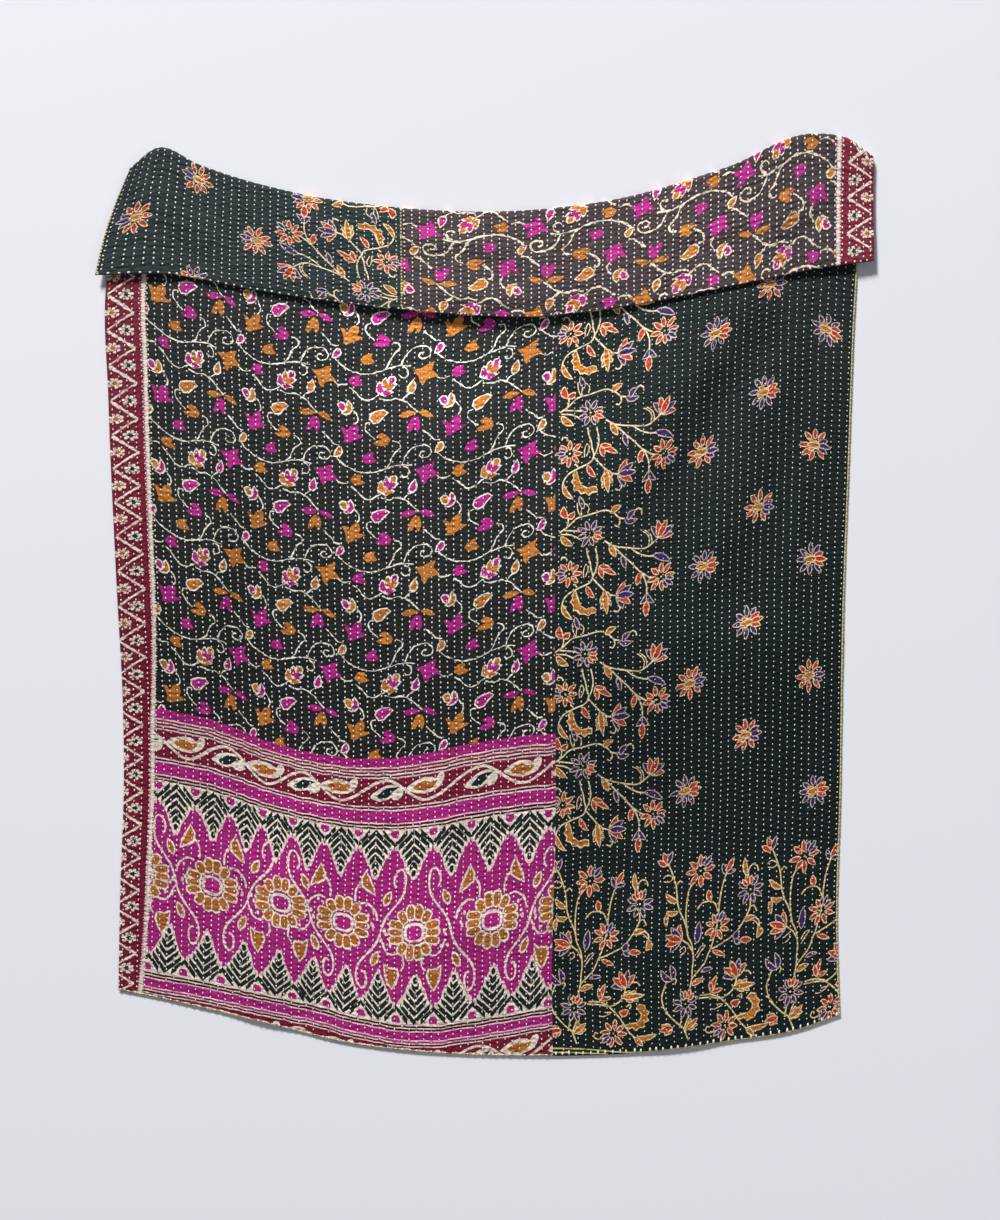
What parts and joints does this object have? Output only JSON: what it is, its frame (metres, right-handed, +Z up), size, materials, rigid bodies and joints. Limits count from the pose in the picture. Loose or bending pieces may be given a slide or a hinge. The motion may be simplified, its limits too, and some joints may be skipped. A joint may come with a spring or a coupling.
{
  "type": "kantha quilt",
  "caption": "Hand-stitched cotton quilt lying face up with its top end folded over; printed face and reverse, each of joined cloths under close rows of running stitch.",
  "frame": {"origin": "bottom centre of the quilt's box, on the surface that it lies on", "axes": "+X across the quilt to the right when it is seen from above, +Y towards the folded end, +Z up"},
  "size_m": [1.32, 1.5673, 0.014],
  "materials": {
    "face_charcoal_print": "matte printed cotton",
    "face_green_print": "matte printed cotton",
    "reverse_green_print": "matte printed cotton",
    "reverse_charcoal_print": "matte printed cotton"
  },
  "bodies": {
    "root": {"front_left_panel": "face_charcoal_print", "front_right_panel": "face_green_print", "back_left_panel": "reverse_green_print", "back_right_panel": "reverse_charcoal_print"}
  },
  "joints": []
}
